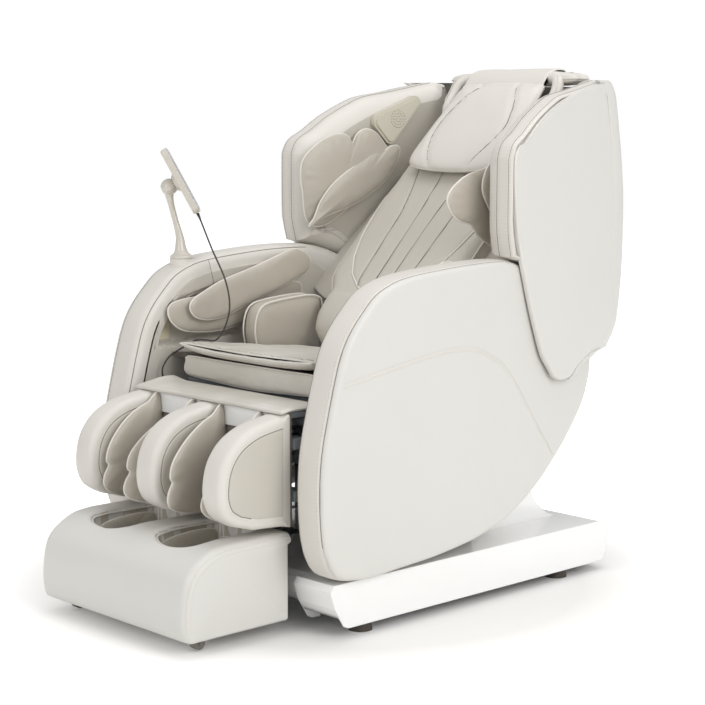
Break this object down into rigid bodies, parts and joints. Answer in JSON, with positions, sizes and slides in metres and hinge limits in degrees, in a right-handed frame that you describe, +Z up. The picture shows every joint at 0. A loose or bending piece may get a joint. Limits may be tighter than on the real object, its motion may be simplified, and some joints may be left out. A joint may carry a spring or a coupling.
{
  "type": "massage chair",
  "caption": "Full-body massage chair with padded side shells, a reclining winged back, a lifting leg rest, a sliding foot rest and a remote on a stand.",
  "frame": {"origin": "on the floor under the middle of the chair's outline", "axes": "+Z up, the sitter faces -Y, +X is the sitter's left"},
  "size_m": [0.7821, 1.3347, 1.183],
  "materials": {
    "frame_steel": "Grey powder-coated steel",
    "gloss_cover": "Gloss white ABS",
    "rubber_feet": "Dark brown rubber",
    "wheel_plastic": "Grey polyurethane and nylon",
    "case_metal": "Light grey sheet case",
    "black_plastic": "Black glass-filled nylon",
    "switch_plastic": "Red rocker",
    "leather_outer": "Ivory PU leather, smooth outer panels",
    "leather_band": "Ivory PU leather, bands and pillow",
    "leather_seat": "Ivory PU leather, seat",
    "leather_pad": "Grey-beige soft PU leather, airbags and pads",
    "board": "Plywood board",
    "speaker_plastic": "Beige moulded plastic",
    "zinc_steel": "Zinc-plated steel",
    "dark_casting": "Dark painted castings",
    "roller_plastic": "Off-white nylon",
    "pearl_plastic": "Pearl champagne plastic",
    "cord_black": "Black PVC cord",
    "chrome_rod": "Chromed rod"
  },
  "bodies": {
    "base": {"base_frame": "frame_steel", "base_cover": "gloss_cover", "base_feet": "rubber_feet", "control_box": "case_metal", "power_inlet": "black_plastic"},
    "wheels": {"transport_wheels": "wheel_plastic"},
    "switch": {"power_switch": "switch_plastic"},
    "seat_unit": {"seat_frame": "frame_steel", "side_panel_left": "leather_outer", "side_panel_right": "leather_outer", "arm_rest_left": "leather_band", "arm_rest_right": "leather_band", "arm_airbags_left": "leather_pad", "arm_airbags_right": "leather_pad", "hip_pad_left": "leather_pad", "hip_pad_right": "leather_pad", "seat_board": "board", "seat_cushion": "leather_seat", "seat_apron": "leather_seat", "air_pump": "black_plastic", "remote_cord": "cord_black"},
    "backrest": {"back_frame": "frame_steel", "back_cover": "leather_outer", "wing_skin_left": "leather_outer", "wing_skin_right": "leather_outer", "wing_liner_left": "leather_band", "wing_liner_right": "leather_band", "back_lining": "leather_band", "back_pad": "leather_pad", "shoulder_airbags_left": "leather_pad", "shoulder_airbags_right": "leather_pad", "speaker_left": "speaker_plastic", "speaker_right": "speaker_plastic", "head_flap": "leather_band"},
    "headrest": {"pillow": "leather_band"},
    "carriage": {"massage_carriage": "zinc_steel", "massage_arms": "dark_casting"},
    "kneading": {"kneading_shaft": "zinc_steel"},
    "upper_rollers": {"rollers_upper": "roller_plastic"},
    "lower_rollers": {"rollers_lower": "roller_plastic"},
    "leg_rest": {"leg_frame": "frame_steel", "calf_shell": "leather_band", "calf_airbags": "leather_pad", "knee_flap": "leather_seat"},
    "foot_unit": {"foot_rest": "leather_outer", "foot_pads": "leather_pad"},
    "foot_massage": {"foot_roller": "roller_plastic"},
    "casters": {"foot_casters": "wheel_plastic"},
    "stand": {"remote_stand": "pearl_plastic"},
    "tablet": {"remote_tablet": "pearl_plastic"},
    "recline_tube": {"recline_motor": "dark_casting"},
    "recline_ram": {"recline_rod": "chrome_rod"},
    "leg_tube": {"leg_motor": "dark_casting"},
    "leg_ram": {"leg_rod": "chrome_rod"},
    "rock_tube": {"rock_motor": "dark_casting"},
    "rock_ram": {"rock_rod": "chrome_rod"}
  },
  "joints": [
    {"name": "rocking", "type": "hinge", "parent": "base", "child": "seat_unit", "pos_m": [0, 0.06, 0.33], "axis": [-1, 0, 0], "range_deg": [0, 13]},
    {"name": "recline", "type": "hinge", "parent": "seat_unit", "child": "backrest", "pos_m": [0, 0.11, 0.47], "axis": [-1, 0, 0], "range_deg": [0, 32]},
    {"name": "leg_lift", "type": "hinge", "parent": "seat_unit", "child": "leg_rest", "pos_m": [0, -0.32, 0.44], "axis": [-1, 0, 0], "range_deg": [0, 80]},
    {"name": "foot_extend", "type": "slide", "parent": "leg_rest", "child": "foot_unit", "axis": [0, 0, -1], "range_m": [0, 0.11]},
    {"name": "wheel_spin", "type": "hinge", "parent": "base", "child": "wheels", "pos_m": [0, 0.462, 0.029], "axis": [1, 0, 0], "continuous": true},
    {"name": "switch_rock", "type": "hinge", "parent": "base", "child": "switch", "pos_m": [0, 0.518, 0.079], "axis": [1, 0, 0], "range_deg": [-6, 6]},
    {"name": "carriage_travel", "type": "slide", "parent": "backrest", "child": "carriage", "axis": [0, 0.7071, 0.7071], "range_m": [0, 0.36]},
    {"name": "kneading_spin", "type": "hinge", "parent": "carriage", "child": "kneading", "pos_m": [0, 0.24059, 0.66834], "axis": [1, 0, 0], "continuous": true},
    {"name": "upper_roller_spin", "type": "hinge", "parent": "carriage", "child": "upper_rollers", "pos_m": [0, 0.27474, 0.73318], "axis": [1, 0, 0], "continuous": true},
    {"name": "lower_roller_spin", "type": "hinge", "parent": "carriage", "child": "lower_rollers", "pos_m": [0, 0.17575, 0.63418], "axis": [1, 0, 0], "continuous": true},
    {"name": "pillow_flip", "type": "hinge", "parent": "backrest", "child": "headrest", "pos_m": [0, 0.545, 1.18], "axis": [-1, 0, 0], "range_deg": [0, 225]},
    {"name": "foot_roller_spin", "type": "hinge", "parent": "foot_unit", "child": "foot_massage", "pos_m": [0, -0.508, 0.088], "axis": [1, 0, 0], "continuous": true},
    {"name": "caster_spin", "type": "hinge", "parent": "foot_unit", "child": "casters", "pos_m": [0, -0.599, 0.017], "axis": [1, 0, 0], "continuous": true},
    {"name": "stand_swivel", "type": "hinge", "parent": "seat_unit", "child": "stand", "pos_m": [-0.335, -0.205, 0.75], "axis": [0, 0, 1], "range_deg": [-60, 60], "deforming": ["remote_cord"]},
    {"name": "tablet_tilt", "type": "hinge", "parent": "stand", "child": "tablet", "pos_m": [-0.354, -0.224, 0.90304], "axis": [-0.7771, 0.6293, 0], "range_deg": [-20, 20], "deforming": ["remote_cord"]},
    {"name": "recline_actuator_swing", "type": "hinge", "parent": "seat_unit", "child": "recline_tube", "pos_m": [0, -0.2, 0.395], "axis": [-1, 0, 0], "range_deg": [-2.48, 0]},
    {"name": "recline_actuator_stroke", "type": "slide", "parent": "recline_tube", "child": "recline_ram", "axis": [0, 0.9988, -0.0483], "range_m": [-0.04805, 0]},
    {"name": "leg_actuator_swing", "type": "hinge", "parent": "seat_unit", "child": "leg_tube", "pos_m": [0, 0.02, 0.395], "axis": [-1, 0, 0], "range_deg": [0, 1.33]},
    {"name": "leg_actuator_stroke", "type": "slide", "parent": "leg_tube", "child": "leg_ram", "axis": [0, -0.996, -0.0889], "range_m": [0, 0.11827]},
    {"name": "rock_actuator_swing", "type": "hinge", "parent": "base", "child": "rock_tube", "pos_m": [0, -0.23, 0.1], "axis": [-1, 0, 0], "range_deg": [-5.42, 0]},
    {"name": "rock_actuator_stroke", "type": "slide", "parent": "rock_tube", "child": "rock_ram", "axis": [0, 0.5932, 0.8051], "range_m": [0, 0.02611]}
  ],
  "couplings": [
    {"joint": "recline_actuator_swing", "follows": "recline", "ratio": -0.07753},
    {"joint": "recline_actuator_stroke", "follows": "recline", "m_per_rad": -0.086037},
    {"joint": "leg_actuator_swing", "follows": "leg_lift", "ratio": 0.016681},
    {"joint": "leg_actuator_stroke", "follows": "leg_lift", "m_per_rad": 0.084702},
    {"joint": "rock_actuator_swing", "follows": "rocking", "ratio": -0.41718},
    {"joint": "rock_actuator_stroke", "follows": "rocking", "m_per_rad": 0.11506}
  ]
}
